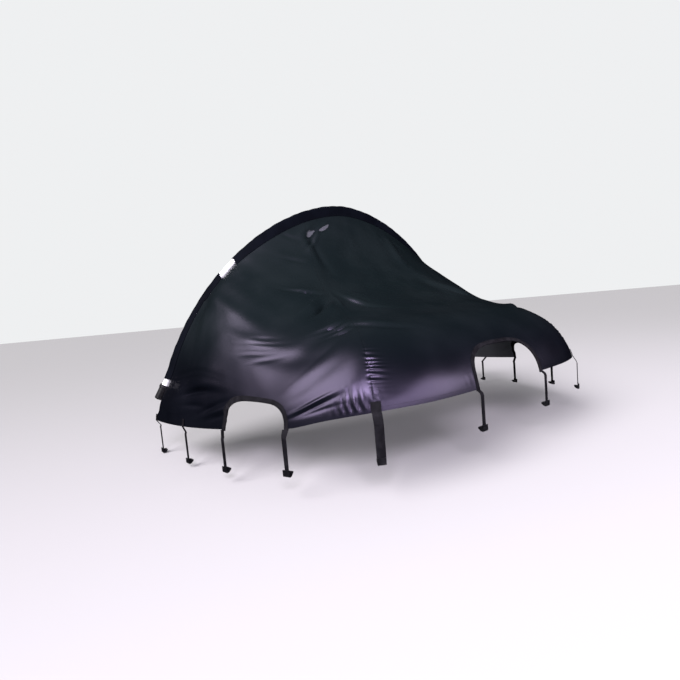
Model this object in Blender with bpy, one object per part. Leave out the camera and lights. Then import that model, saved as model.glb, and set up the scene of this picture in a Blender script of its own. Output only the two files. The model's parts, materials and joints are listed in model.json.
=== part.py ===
"""Boat bow cover on an arch hoop: cut cloth panels, a sleeved hoop, and straps that hook under a rub strake."""

import math

import bpy
from mathutils import Vector

# Sizes are in metres. X runs across the boat, the bow points to -Y and Z is up.
# The origin lies on the centre line between the hoop's feet, level with the rub strake amidships.

# The rub strake that the cover hooks on to, seen from above: a squared bow that runs into straight sides.
HALF_BEAM = 0.850
BOW_LENGTH = 1.876
BOW_SQUARENESS = 4.156
CORNER_TRIM = 0.096
BOW_Y = -0.863
SHEER_RISE = 0.108
SHEER_LENGTH = 1.193
SHEER_POWER = 2.44
STRAKE_HALF_HEIGHT = 0.042

# The round side tube under the cloth, just inboard of the strake.
TUBE_RADIUS = 0.255
TUBE_RISE = 0.008
STRAKE_THICKNESS = 0.008

# The hoop: one bent pole, its arch a superellipse that leans towards the bow.
HOOP_HALF_WIDTH = 0.785
HOOP_HEIGHT = 0.826
HOOP_ROUNDNESS = 1.795
HOOP_LEAN = 0.095
HOOP_BASE = 0.003
POLE_RADIUS = 0.0125
POLE_END_DEGREES = 77.7
FOOT_FLARE = 0.024
FOOT_FLARE_TOP = 0.240
FOOT_FLARE_SPAN = 0.120

# The cloth. It runs to the hoop at the rear and top, and is seamed at the two bow corners.
CLOTH = 0.002
HEM_BAND = 0.014
HEM = (
    # along, height above the tube's middle
    (0.000, 0.044),
    (0.300, 0.047),
    (0.470, 0.055),
    (0.590, 0.057),
    (0.705, 0.051),
    (0.939, 0.060),
    (1.420, 0.062),
)
EDGE_SETBACK = 0.0155
EDGE_SLOPE = 2.4
REAR_EDGE = (
    # share up the rear edge, shift aft of the last rib
    (0.00, 0.0130),
    (0.04, 0.0060),
    (0.08, -0.0100),
    (0.32, -0.0100),
    (0.40, 0.0000),
    (1.00, 0.0000),
)
REAR = 1.377
SEAM_AT = 0.470
SEAM_GAP = 0.0004
BLEND_FROM = 0.560
ROW_GROWTH = 1.25
ARCH_CORNER_DEGREES = 50.0

# The hoop's sleeve: three lengths, with the bare pole between them.
SEAM_WIDTH = 0.016
SLEEVE_WALL = 0.0015
SLEEVE_FIT = 0.0032
SLEEVE_TURN = 100.0
TOP_SLEEVE_END_DEGREES = 40.4
SIDE_SLEEVE_START_DEGREES = 45.3
SIDE_SLEEVE_END_HEIGHT = 0.205

# Notches in the hem, bound with tape whose ends run on as straps.
NOTCHES = (
    # name, along, half_width, height, squareness
    ("bow", 0.000, 0.149, 0.115, 3.0),
    ("right", 0.820, 0.111, 0.071, 2.5),
    ("left", -0.820, 0.111, 0.071, 2.5),
)
NOTCH_STEPS = 24
CUTTER_REACH = 0.030
BINDING_WIDTH = 0.011
BINDING_WALL = 0.001
BINDING_FIT = 0.0012

# Straps from the hem to the hooks under the strake, on both sides.
STRAPS = (
    # number, along, top_width, end_width, lap over the cloth, lift off its face
    (1, 0.1555, 0.012, 0.012, 0.000, 0.0003),
    (2, 0.4700, 0.024, 0.022, 0.024, 0.0009),
    (3, 0.7050, 0.017, 0.011, 0.000, 0.0006),
    (4, 0.9395, 0.013, 0.012, 0.000, 0.0006),
    (5, 1.1580, 0.012, 0.011, 0.024, 0.0016),
    (6, 1.3790, 0.011, 0.010, 0.024, 0.0016),
)
STRAP_THICKNESS = 0.0016
STRAP_STANDOFF = 0.002
STRAP_END_DEPTH = 0.0478
LAP_FIT = 0.0008
STRAP_DROP = 0.0014
HOOK_WIDTH = 0.020
HOOK_OUTLINE = (
    # out from the strake's face, depth below the strake's middle
    (0.0062, 0.0380),
    (0.0034, 0.0380),
    (0.0034, 0.0485),
    (0.0006, 0.0485),
    (0.0006, 0.0440),
    (-0.0095, 0.0440),
    (-0.0095, 0.0475),
    (-0.0020, 0.0540),
    (0.0045, 0.0545),
    (0.0062, 0.0520),
)

# Folds of the slack cloth: soft ridges, or troughs where the height is negative.
FOLDS = (
    # along, up the cloth, half_length, half_width, turn_degrees, height
    (-0.515, 0.536, 0.110, 0.026, 59, -0.0070),
    (-0.455, 0.500, 0.120, 0.030, 62, 0.0050),
    (-0.580, 0.590, 0.120, 0.030, 55, 0.0050),
    (-0.305, 0.510, 0.180, 0.030, -40, -0.0050),
    (-0.250, 0.580, 0.170, 0.034, -34, 0.0055),
    (-0.400, 0.310, 0.120, 0.028, -14, 0.0050),
    (-0.560, 0.330, 0.110, 0.026, 44, 0.0050),
    (-0.600, 0.270, 0.110, 0.024, 44, -0.0045),
    (-0.790, 0.245, 0.130, 0.026, -6, 0.0050),
    (-0.780, 0.195, 0.120, 0.024, -6, -0.0045),
    (-1.090, 0.098, 0.130, 0.024, -15, -0.0070),
    (-1.100, 0.155, 0.130, 0.028, -12, 0.0060),
    (-0.950, 0.400, 0.200, 0.045, -20, 0.0040),
    (-0.480, 0.950, 0.100, 0.028, -70, 0.0055),
    (-0.420, 0.920, 0.110, 0.028, -60, -0.0050),
    (-0.640, 0.105, 0.100, 0.026, 25, -0.0050),
    (0.020, 0.440, 0.250, 0.050, 3, 0.0040),
    (0.480, 0.560, 0.120, 0.030, -56, -0.0055),
    (0.540, 0.610, 0.120, 0.030, -52, 0.0050),
    (0.280, 0.500, 0.170, 0.032, 36, -0.0050),
    (0.230, 0.570, 0.170, 0.034, 30, 0.0050),
    (0.410, 0.290, 0.120, 0.028, 12, 0.0045),
    (0.760, 0.230, 0.120, 0.026, 8, 0.0050),
    (0.640, 0.120, 0.100, 0.026, -24, -0.0050),
    (1.060, 0.110, 0.130, 0.026, 16, -0.0065),
    (1.080, 0.170, 0.130, 0.028, 12, 0.0055),
    (0.480, 0.940, 0.100, 0.028, 64, 0.0050),
)
FOLD_FREE_EDGE = 0.030
FOLD_EASE = 0.060

# The hoop's foot sockets on the side tubes.
SOCKET_RADIUS = 0.0165
SOCKET_BORE = POLE_RADIUS + 0.0014
SOCKET_HEIGHT = 0.052
SOCKET_FLOOR = 0.006
POLE_END_GAP = 0.0014
SOCKET_LIP = 0.0020
PAD_LENGTH = 0.070
PAD_WIDTH = 0.030
PAD_THICKNESS = 0.007
PAD_SINK = 0.0015

# Ribs of the cover. Each leaves the tube towards its ridge, dips to its knee and climbs to the hoop.
RIBS = (
    # along, hoop_degrees, ridge_share, ridge_height, knee_share, knee_height
    (0.000, 0.0, 0.58, 0.420, 0.84, 0.470),
    (0.155, 5.0, 0.58, 0.420, 0.84, 0.470),
    (0.300, 10.0, 0.56, 0.417, 0.83, 0.470),
    (0.400, 13.5, 0.54, 0.413, 0.82, 0.472),
    (0.470, 16.5, 0.50, 0.410, 0.80, 0.475),
    (0.550, 22.0, 0.47, 0.405, 0.80, 0.482),
    (0.620, 27.5, 0.45, 0.400, 0.80, 0.490),
    (0.705, 34.0, 0.43, 0.398, 0.79, 0.500),
    (0.800, 40.0, 0.40, 0.395, 0.77, 0.505),
    (0.939, 45.0, 0.38, 0.370, 0.74, 0.490),
    (1.050, 47.3, 0.36, 0.330, 0.72, 0.450),
    (1.158, 48.6, 0.35, 0.270, 0.70, 0.410),
    (1.270, 49.5, 0.34, 0.220, 0.68, 0.380),
    (1.377, ARCH_CORNER_DEGREES, 0.33, 0.200, 0.66, 0.360),
)

FINE = 0.002


def smooth(table, x, column):
    """The value of a column at x, on a smooth curve through the table's rows."""
    last = len(table) - 1
    i = max(k for k in range(last) if table[k][0] <= x or k == 0)
    x0, x1 = table[i][0], table[i + 1][0]
    y0, y1 = table[i][column], table[i + 1][column]
    before = table[max(i - 1, 0)]
    after = table[min(i + 2, last)]
    slope0 = (y1 - before[column]) / (x1 - before[0])
    slope1 = (after[column] - y0) / (after[0] - x0)
    span = x1 - x0
    f = (x - x0) / span
    return (
        y0 * (1 + 2 * f) * (1 - f) ** 2
        + y1 * f * f * (3 - 2 * f)
        + span * (slope0 * f * (1 - f) ** 2 - slope1 * f * f * (1 - f))
    )


def ease(f):
    f = min(max(f, 0.0), 1.0)
    return f * f * (3 - 2 * f)


def strake_corner(t):
    """A point of the strake's outer line on the right side, for t from 0 at the bow to 1 amidships."""
    turn = t * t * math.pi / 2
    power = 2 / BOW_SQUARENESS
    x = HALF_BEAM * math.sin(turn) ** power * (1 - CORNER_TRIM * math.sin(2 * turn))
    back = BOW_LENGTH * (1 - math.cos(turn) ** power)
    rise = SHEER_RISE * max(1 - back / SHEER_LENGTH, 0) ** SHEER_POWER
    return Vector((x, BOW_Y + back, rise))


def walk_strake(steps=1600):
    """(distance along the strake, point) from the bow's middle to amidships."""
    walked = [(0.0, strake_corner(0))]
    for i in range(1, steps):
        point = strake_corner(i / steps)
        distance, before = walked[-1]
        walked.append((distance + (point - before).length, point))
    return walked


STRAKE = walk_strake()


def strake_point(along):
    """The strake's outer line at a distance from the bow's middle, negative to the left."""
    distance = abs(along)
    low, high = 0, len(STRAKE) - 1
    while high - low > 1:
        middle = (low + high) // 2
        if STRAKE[middle][0] <= distance:
            low = middle
        else:
            high = middle
    (d0, p0), (d1, p1) = STRAKE[low], STRAKE[high]
    point = p0.lerp(p1, (distance - d0) / (d1 - d0))
    return Vector((math.copysign(point.x, along), point.y, point.z))


def outward(along):
    """The level direction that points out of the boat, square to the strake."""
    run = strake_point(along + 0.01) - strake_point(along - 0.01)
    return Vector((run.y, -run.x, 0)).normalized()


def hoop_point(degrees):
    """The pole's centre, by the angle down from the top, negative to the left."""
    angle = math.radians(abs(degrees))
    power = 2 / HOOP_ROUNDNESS
    rise = math.cos(angle) ** power
    z = HOOP_BASE + HOOP_HEIGHT * rise
    x = HOOP_HALF_WIDTH * math.sin(angle) ** power
    x += FOOT_FLARE * ease((FOOT_FLARE_TOP - z) / FOOT_FLARE_SPAN)
    return Vector((math.copysign(x, degrees), -HOOP_LEAN * rise, z))


def hoop_degrees(side, height):
    """The angle of the hoop's point at this height."""
    rise = min(max((height - HOOP_BASE) / HOOP_HEIGHT, 0), 1)
    return side * math.degrees(math.acos(rise ** (HOOP_ROUNDNESS / 2)))


def across_hoop(degrees, direction):
    """The part of a direction that is square to the pole, as a unit vector."""
    run = (hoop_point(degrees + 0.5) - hoop_point(degrees - 0.5)).normalized()
    return (direction - run * direction.dot(run)).normalized()


def hoop_edge(degrees):
    """The cloth's edge beside the pole: off towards the bow, and downwards near the top."""
    slope = EDGE_SLOPE * (1 - ease(abs(degrees) / ARCH_CORNER_DEGREES))
    return hoop_point(degrees) + across_hoop(degrees, Vector((0, -1, -slope))) * EDGE_SETBACK


def rib(along):
    """The tube's centre, the outward direction, the angles of hem and lift-off, and the free curve's points."""
    distance = abs(along)
    out = outward(along)
    foot = strake_point(along)
    centre = foot - out * (TUBE_RADIUS + STRAKE_THICKNESS) + Vector((0, 0, TUBE_RISE))
    top = hoop_edge(math.copysign(smooth(RIBS, distance, 1), along))
    ridge = foot.lerp(top, smooth(RIBS, distance, 2))
    ridge.z = smooth(RIBS, distance, 3)
    knee = foot.lerp(top, smooth(RIBS, distance, 4))
    knee.z = smooth(RIBS, distance, 5)
    radius = TUBE_RADIUS + CLOTH
    reach = Vector(((ridge - centre).dot(out), (ridge - centre).z))
    lift_off = math.atan2(reach.y, reach.x) - math.acos(radius / reach.length)
    hem = math.asin(smooth(HEM, distance, 1) / radius)
    lift_off = max(lift_off, hem)
    tangent = centre + radius * (out * math.cos(lift_off) + Vector((0, 0, math.sin(lift_off))))
    return centre, out, hem, lift_off, (tangent, ridge, knee, top)


def bezier(points, f):
    a, b, c, d = points
    g = 1 - f
    return a * g**3 + b * (3 * g * g * f) + c * (3 * g * f * f) + d * f**3


def draped(along, share):
    """A point of the cloth between hem (share 0) and hoop (share 1): round the tube, then free."""
    centre, out, hem, lift_off, free = rib(along)
    radius = TUBE_RADIUS + CLOTH
    arc = radius * (lift_off - hem)
    line = sum((free[i + 1] - free[i]).length for i in range(3))
    up = share * (arc + line)
    if up < arc:
        angle = hem + up / radius
        return centre + radius * (out * math.cos(angle) + Vector((0, 0, math.sin(angle))))
    return bezier(free, (up - arc) / line)


def leg_point(side, share):
    """The edge beside the hoop's leg, at the height that the rearmost rib has at this share."""
    return hoop_edge(hoop_degrees(side, draped(side * REAR, share).z))


def fold_height(along, up, length):
    """How far the folds lift the cloth, nothing along the hem and the hoop."""
    total = 0.0
    for middle, level, half_length, half_width, turn, height in FOLDS:
        angle = math.radians(turn)
        run = (along - middle) * math.cos(angle) + (up - level) * math.sin(angle)
        across = (up - level) * math.cos(angle) - (along - middle) * math.sin(angle)
        total += height * math.exp(-((run / half_length) ** 2) - (across / half_width) ** 2)
    from_edge = min(up, length - up, (REAR - abs(along)))
    return total * ease((from_edge - FOLD_FREE_EDGE) / FOLD_EASE)


def surface(along, share):
    """The taut cloth: the draped ribs, eased into the hoop's legs at the rear."""
    side = math.copysign(1, along)
    point = draped(along, share)
    weight = ease((abs(along) - BLEND_FROM) / (REAR - BLEND_FROM))
    if weight:
        correction = leg_point(side, share) - draped(side * REAR, share)
        point = point + correction * weight
    return point


def material(name, colour, roughness, metallic=0.0):
    made = bpy.data.materials.new(name)
    made.use_nodes = True
    shader = made.node_tree.nodes["Principled BSDF"]
    shader.inputs["Base Color"].default_value = (*colour, 1)
    shader.inputs["Roughness"].default_value = roughness
    shader.inputs["Metallic"].default_value = metallic
    return made


def add_object(name, points, faces, finish):
    mesh = bpy.data.meshes.new(name)
    mesh.from_pydata([tuple(point) for point in points], [], faces)
    mesh.validate()
    mesh.shade_smooth()
    mesh.set_sharp_from_angle(angle=math.radians(40))
    if finish:
        mesh.materials.append(finish)
    obj = bpy.data.objects.new(name, mesh)
    bpy.context.scene.collection.objects.link(obj)
    return obj


def shell(name, outer, inner, finish):
    """A closed sheet between two grids of points, the outer one's rows turning left to right."""
    rows, columns = len(outer), len(outer[0])
    points = [point for row in outer for point in row] + [point for row in inner for point in row]
    half = rows * columns

    def at(i, j, layer):
        return layer * half + i * columns + j

    faces = []
    for i in range(rows - 1):
        for j in range(columns - 1):
            faces.append((at(i, j, 0), at(i, j + 1, 0), at(i + 1, j + 1, 0), at(i + 1, j, 0)))
            faces.append((at(i, j, 1), at(i + 1, j, 1), at(i + 1, j + 1, 1), at(i, j + 1, 1)))
    rim = [(0, j) for j in range(columns)] + [(i, columns - 1) for i in range(1, rows)]
    rim += [(rows - 1, j) for j in range(columns - 2, -1, -1)] + [(i, 0) for i in range(rows - 2, 0, -1)]
    for (i0, j0), (i1, j1) in zip(rim, rim[1:] + rim[:1]):
        faces.append((at(i0, j0, 0), at(i0, j0, 1), at(i1, j1, 1), at(i1, j1, 0)))
    return add_object(name, points, faces, finish)


def clear_scene():
    for obj in list(bpy.data.objects):
        bpy.data.objects.remove(obj)


def spread(start, end, count):
    return [start + (end - start) * i / count for i in range(count + 1)]


def cloth_point(along, share):
    """The cloth's outer face, folds and all, and the taut cloth's outward unit normal."""
    side = surface(along + FINE, share) - surface(along - FINE, share)
    up = surface(along, share + 0.004) - surface(along, share - 0.004)
    normal = side.cross(up).normalized()
    length = rib_length(along)
    return surface(along, share) + normal * fold_height(along, share * length, length), normal


def rib_length(along):
    """The length from hem to hoop that share 1 stands for."""
    centre, out, hem, lift_off, free = rib(along)
    line = sum((free[i + 1] - free[i]).length for i in range(3))
    return (TUBE_RADIUS + CLOTH) * (lift_off - hem) + line


def share_of_seam(along):
    """The share at which the sleeve is sewn to the cloth, the same way in from the pole on every rib."""
    centre, out, hem, lift_off, free = rib(along)
    line = sum((free[i + 1] - free[i]).length for i in range(3))
    end = free[3] - free[2]
    square = across_hoop(math.copysign(smooth(RIBS, abs(along), 1), along), end)
    width = SEAM_WIDTH / max(end.normalized().dot(square), 0.4)
    return 1 - width / (3 * end.length) * line / rib_length(along)


def notch_outline(notch, t):
    """(along, height above the hem) on a notch's arch, for t from 0 to 1."""
    name, middle, half_width, height, squareness = notch
    angle = math.pi * t
    power = 2 / squareness
    across = math.copysign(abs(math.cos(angle)) ** power, math.cos(angle))
    return middle - half_width * across, height * math.sin(angle) ** power


def row_shares(along, rows):
    """Shares of a column's points: the hem's band, rows closer on the round tube, and the sleeve's band."""
    band = HEM_BAND / rib_length(along)
    seam = share_of_seam(along)
    between = [band + (seam - band) * f**ROW_GROWTH for f in spread(0, 1, rows)]
    return [0.0] + between + [1.0]


def panel(name, columns, finish, rows=20, rear=0):
    """One cut panel of cloth, rear +1 or -1 where its last or first column is the cover's rear edge.

    Returns the (along, share) of each point, by row."""
    placed = [[(along, share) for share in row_shares(along, rows)] for along in columns]
    grid = [list(row) for row in zip(*placed)]
    if rear:
        for row in grid:
            end = -1 if rear > 0 else 0
            share = row[end][1]
            row[end] = (rear * (REAR + smooth(REAR_EDGE, share, 1)), share)
    outer, inner = [], []
    for row in grid:
        faces = [cloth_point(along, share) for along, share in row]
        outer.append([point for point, normal in faces])
        inner.append([point - normal * CLOTH for point, normal in faces])
    shell(name, outer, inner, finish)
    return grid


def cut_notch(notch):
    """Cuts a notch's arch out of its panel, square to the cloth."""
    name, middle, half_width = notch[:3]
    rings = []
    outline = [notch_outline(notch, t) for t in spread(0, 1, NOTCH_STEPS)]
    outline += [(middle + half_width, -CUTTER_REACH), (middle - half_width, -CUTTER_REACH)]
    for lift in (CUTTER_REACH, -CUTTER_REACH):
        ring = []
        for along, height in outline:
            point, normal = cloth_point(along, height / rib_length(along))
            ring.append(point + normal * lift)
        rings.append(ring)
    cutter = sweep(f"cutter_{name}", rings, None)
    cutter.hide_render = True
    cutter.display_type = "WIRE"
    cut = bpy.data.objects[f"panel_{name}"].modifiers.new("notch", "BOOLEAN")
    cut.object = cutter


def sweep(name, sections, finish):
    """A closed solid through sections of equal count, each turning counter-clockwise seen from its end."""
    count = len(sections[0])
    points = [point for section in sections for point in section]
    faces = [tuple(range(count - 1, -1, -1))]
    for i in range(len(sections) - 1):
        for j in range(count):
            k = (j + 1) % count
            faces.append((i * count + j, i * count + k, (i + 1) * count + k, (i + 1) * count + j))
    faces.append(tuple(range((len(sections) - 1) * count, len(sections) * count)))
    return add_object(name, points, faces, finish)


def sleeve_section(edge, seam, degrees):
    """The sleeve cut across: from the seam over the pole and back under the cloth."""
    pole = hoop_point(degrees)
    tail, normal = cloth_point(*seam)
    edge_normal = cloth_point(*edge)[1]
    inward = across_hoop(degrees, tail - pole)
    over = across_hoop(degrees, edge_normal - inward * edge_normal.dot(inward))
    turns = spread(SLEEVE_TURN, -SLEEVE_TURN, 8)
    inner_radius = POLE_RADIUS + SLEEVE_FIT

    def around(radius, turn):
        angle = math.radians(turn)
        return pole + radius * (over * math.sin(angle) - inward * math.cos(angle))

    outer = [tail + normal * (LAP_FIT + SLEEVE_WALL)]
    outer += [around(inner_radius + SLEEVE_WALL, turn) for turn in turns]
    outer.append(tail - normal * (CLOTH + LAP_FIT + SLEEVE_WALL))
    inner = [tail - normal * (CLOTH + LAP_FIT)]
    inner += [around(inner_radius, turn) for turn in reversed(turns)]
    inner.append(tail + normal * LAP_FIT)
    return outer + inner


def sleeve_stations(grid, side):
    """(edge, seam, degrees) along a side panel's hoop edge, from the corner seam round to the leg's end."""
    columns = list(zip(*grid))[::side]
    stations = [(column[-1], column[-2], side * smooth(RIBS, abs(column[-1][0]), 1)) for column in columns[:-1]]
    rows = list(zip(columns[-1], columns[-2]))[:-1]
    for edge, seam in reversed(rows):
        height = surface(*edge).z
        if height > SIDE_SLEEVE_END_HEIGHT:
            stations.append((edge, seam, hoop_degrees(side, height)))
    return stations


def add_sleeves(bow_grid, right_grid, left_grid, finish):
    right, left = sleeve_stations(right_grid, 1), sleeve_stations(left_grid, -1)
    middle = []
    for edge, seam in list(zip(bow_grid[-1], bow_grid[-2]))[1:-1]:
        middle.append((edge, seam, math.copysign(smooth(RIBS, abs(edge[0]), 1), edge[0])))
    top = [station for station in left[::-1] + middle + right if abs(station[2]) <= TOP_SLEEVE_END_DEGREES]
    sweep("sleeve_top", [sleeve_section(*station)[::-1] for station in top], finish)
    for name, side, stations in (("sleeve_right", 1, right), ("sleeve_left", -1, left)):
        leg = [sleeve_section(*station) for station in stations if abs(station[2]) >= SIDE_SLEEVE_START_DEGREES]
        sweep(name, [section[::-side] for section in leg], finish)


def binding_section(notch, t):
    """The folded tape cut across: a U over the notch's edge."""
    along, height = notch_outline(notch, t)
    ahead = notch_outline(notch, min(t + 0.002, 1))
    behind = notch_outline(notch, max(t - 0.002, 0))
    run = Vector((ahead[0] - behind[0], ahead[1] - behind[1])).normalized()
    into = Vector((-run.y, run.x))

    def at(inset, lift):
        place = along + into.x * inset
        share = max(height + into.y * inset, 0) / rib_length(place)
        point, normal = cloth_point(place, share)
        return point + normal * lift

    over, under = BINDING_FIT, -CLOTH - BINDING_FIT
    bend = -0.0007
    outside = bend - BINDING_WALL
    return [
        at(BINDING_WIDTH, over + BINDING_WALL),
        at(outside, over + BINDING_WALL),
        at(outside, under - BINDING_WALL),
        at(BINDING_WIDTH, under - BINDING_WALL),
        at(BINDING_WIDTH, under),
        at(bend, under),
        at(bend, over),
        at(BINDING_WIDTH, over),
    ]


def add_bindings(finish):
    for notch in NOTCHES:
        sections = [binding_section(notch, t) for t in spread(0, 1, NOTCH_STEPS)]
        sweep(f"binding_{notch[0]}", sections, finish)


def strap_path(along, lap, lift):
    """Points down a strap's middle: lapped on the cloth or starting at the hem, then over the strake."""
    out = outward(along)
    foot = strake_point(along)
    up = Vector((0, 0, 1))
    standoff = lift + STRAP_THICKNESS / 2
    length = rib_length(along)
    heights = (lap, lap / 2, 0.001) if lap else (-STRAP_DROP,)
    path = []
    for height in heights:
        point, normal = cloth_point(along, height / length)
        path.append(point + normal * standoff)
    path.append(foot + out * (STRAP_STANDOFF - 0.002) + up * (STRAKE_HALF_HEIGHT + 0.003))
    path.append(foot + out * STRAP_STANDOFF + up * (STRAKE_HALF_HEIGHT - 0.003))
    path.append(foot + out * STRAP_STANDOFF - up * STRAP_END_DEPTH)
    return path


def add_straps(finish, hook_finish):
    for side, word in ((1, "right"), (-1, "left")):
        for number, distance, top_width, end_width, lap, lift in STRAPS:
            along = side * distance
            out = outward(along)
            across = out.cross(Vector((0, 0, 1)))
            path = strap_path(along, lap, lift)
            sections = []
            for i, point in enumerate(path):
                ahead = path[min(i + 1, len(path) - 1)] - path[max(i - 1, 0)]
                face = ahead.cross(across).normalized() * (STRAP_THICKNESS / 2)
                share = i / (len(path) - 1)
                half = across * (top_width + (end_width - top_width) * share) / 2
                sections.append([point - half - face, point + half - face, point + half + face, point - half + face])
            sweep(f"strap_{word}_{number}", sections, finish)
            foot = strake_point(along)
            ends = []
            for shift in (-HOOK_WIDTH / 2, HOOK_WIDTH / 2):
                ends.append([foot + across * shift + out * x - Vector((0, 0, depth)) for x, depth in HOOK_OUTLINE])
            sweep(f"hook_{word}_{number}", ends, hook_finish)


def add_pole(finish):
    curve = bpy.data.curves.new("hoop_pole", "CURVE")
    curve.dimensions = "3D"
    curve.bevel_depth = POLE_RADIUS
    curve.bevel_resolution = 3
    curve.use_fill_caps = True
    spline = curve.splines.new("POLY")
    stops = spread(-POLE_END_DEGREES, POLE_END_DEGREES, 60)
    spline.points.add(len(stops) - 1)
    for point, degrees in zip(spline.points, stops):
        point.co = (*hoop_point(degrees), 1)
    curve.materials.append(finish)
    obj = bpy.data.objects.new("hoop_pole", curve)
    bpy.context.scene.collection.objects.link(obj)


def add_socket(side, word, finish):
    """A cup round the pole's end on a flat pad that lies against the side tube."""
    end = hoop_point(side * POLE_END_DEGREES)
    axis = (hoop_point(side * (POLE_END_DEGREES - 4)) - end).normalized()
    foot = end - axis * (SOCKET_FLOOR + POLE_END_GAP)
    rim = SOCKET_RADIUS + SOCKET_LIP
    profile = (
        # radius, height above the cup's foot
        (0, 0),
        (SOCKET_RADIUS - 0.003, 0),
        (SOCKET_RADIUS, 0.003),
        (SOCKET_RADIUS, SOCKET_HEIGHT - 0.012),
        (rim, SOCKET_HEIGHT - 0.010),
        (rim, SOCKET_HEIGHT - 0.001),
        (rim - 0.001, SOCKET_HEIGHT),
        (SOCKET_BORE, SOCKET_HEIGHT),
        (SOCKET_BORE, SOCKET_FLOOR),
        (0, SOCKET_FLOOR),
    )
    steps = 20
    first = axis.cross(Vector((0, 1, 0))).normalized()
    second = axis.cross(first)
    rings = []
    for radius, height in profile[1:-1]:
        ring = []
        for k in range(steps):
            angle = 2 * math.pi * k / steps
            ring.append(foot + axis * height + radius * (first * math.cos(angle) + second * math.sin(angle)))
        rings.append(ring)
    cup = sweep(f"socket_{word}", rings, finish)

    middle = foot + axis * (SOCKET_HEIGHT / 2)
    along_tube = Vector((0, 1, 0))
    facing = axis.cross(along_tube).normalized() * -side
    face = middle - facing * (SOCKET_RADIUS - PAD_SINK)
    corners = []
    for depth in (PAD_THICKNESS, 0):
        ring = []
        for a, b in ((-1, -1), (1, -1), (1, 1), (-1, 1)):
            ring.append(face - facing * depth + along_tube * (a * PAD_WIDTH / 2) + axis * (b * PAD_LENGTH / 2))
        corners.append(ring if side < 0 else ring[::-1])
    pad = sweep(f"socket_pad_{word}", corners, finish)
    pad.hide_render = True
    pad.display_type = "WIRE"
    join = cup.modifiers.new("pad", "BOOLEAN")
    join.operation = "UNION"
    join.object = pad


def main():
    clear_scene()
    cloth = material("satin_nylon", (0.018, 0.022, 0.022), 0.42)
    sleeve_cloth = material("sleeve_cloth", (0.012, 0.014, 0.030), 0.55)
    webbing = material("webbing", (0.015, 0.014, 0.018), 0.75)
    plastic = material("moulded_plastic", (0.020, 0.020, 0.022), 0.40)
    aluminium = material("aluminium", (0.72, 0.73, 0.74), 0.35, 1.0)

    near_seam, past_seam = SEAM_AT - SEAM_GAP / 2, SEAM_AT + SEAM_GAP / 2
    bow_grid = panel("panel_bow", spread(-near_seam, near_seam, 24), cloth)
    right_columns = spread(past_seam, REAR - SEAM_WIDTH, 22) + [REAR]
    right_grid = panel("panel_right", right_columns, cloth, rear=1)
    left_grid = panel("panel_left", [-along for along in reversed(right_columns)], cloth, rear=-1)
    for notch in NOTCHES:
        cut_notch(notch)
    add_sleeves(bow_grid, right_grid, left_grid, sleeve_cloth)
    add_bindings(webbing)
    add_straps(webbing, plastic)
    add_pole(aluminium)
    add_socket(1, "right", plastic)
    add_socket(-1, "left", plastic)


main()
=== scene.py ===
# %% [markdown]
# # A boat bow cover
# The cover is three cut panels of thin coated cloth. They lie round at the front and the sides,
# rise to a hooped pole at the rear, and are pulled tight by straps that end in hooks. This lesson
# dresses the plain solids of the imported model: first comes the camera, then the cloth with its
# folds, then sleeves, tape and thread, and last the finishes and the light.

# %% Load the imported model
import json
import math

import bpy
import numpy as np
from mathutils import Matrix, Vector


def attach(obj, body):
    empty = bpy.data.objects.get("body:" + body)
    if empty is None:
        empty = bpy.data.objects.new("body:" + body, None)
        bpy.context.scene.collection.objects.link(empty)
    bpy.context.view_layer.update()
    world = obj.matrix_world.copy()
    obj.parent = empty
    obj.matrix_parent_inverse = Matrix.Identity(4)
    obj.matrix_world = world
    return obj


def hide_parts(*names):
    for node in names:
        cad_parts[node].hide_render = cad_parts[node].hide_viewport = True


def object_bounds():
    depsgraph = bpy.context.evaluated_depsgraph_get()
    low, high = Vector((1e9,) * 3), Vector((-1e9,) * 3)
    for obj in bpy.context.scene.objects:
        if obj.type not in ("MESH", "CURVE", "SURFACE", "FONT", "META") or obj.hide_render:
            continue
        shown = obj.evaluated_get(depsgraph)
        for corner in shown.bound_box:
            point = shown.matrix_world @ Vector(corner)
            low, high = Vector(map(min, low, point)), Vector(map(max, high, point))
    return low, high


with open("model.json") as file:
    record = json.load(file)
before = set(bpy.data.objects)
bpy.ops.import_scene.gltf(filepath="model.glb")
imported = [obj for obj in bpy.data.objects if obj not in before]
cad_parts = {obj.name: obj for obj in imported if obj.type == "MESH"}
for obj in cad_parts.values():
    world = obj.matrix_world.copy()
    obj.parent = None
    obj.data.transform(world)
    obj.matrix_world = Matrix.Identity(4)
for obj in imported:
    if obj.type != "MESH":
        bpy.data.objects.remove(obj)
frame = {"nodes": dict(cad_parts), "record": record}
cad_low, cad_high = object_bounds()
nodes = frame["nodes"]
print("nodes:", len(nodes), "box:", [round(v, 3) for v in (*cad_low, *cad_high)])

# %% [markdown]
# ## The camera
# A product photo is matched by putting the camera where the photographer stood. The three angles
# are turned into a rotation matrix whose columns are the camera's right, up and backward axes.
# A typed matrix is used, and not a Track To constraint, because the camera is also rolled a little.

# %% Place the camera
CAMERA_PLACE = Vector((-0.987, -1.467, 0.396))
TURN, TILT, ROLL = (math.radians(a) for a in (33.98, 4.40, -5.01))
LENS = 20.17

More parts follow.
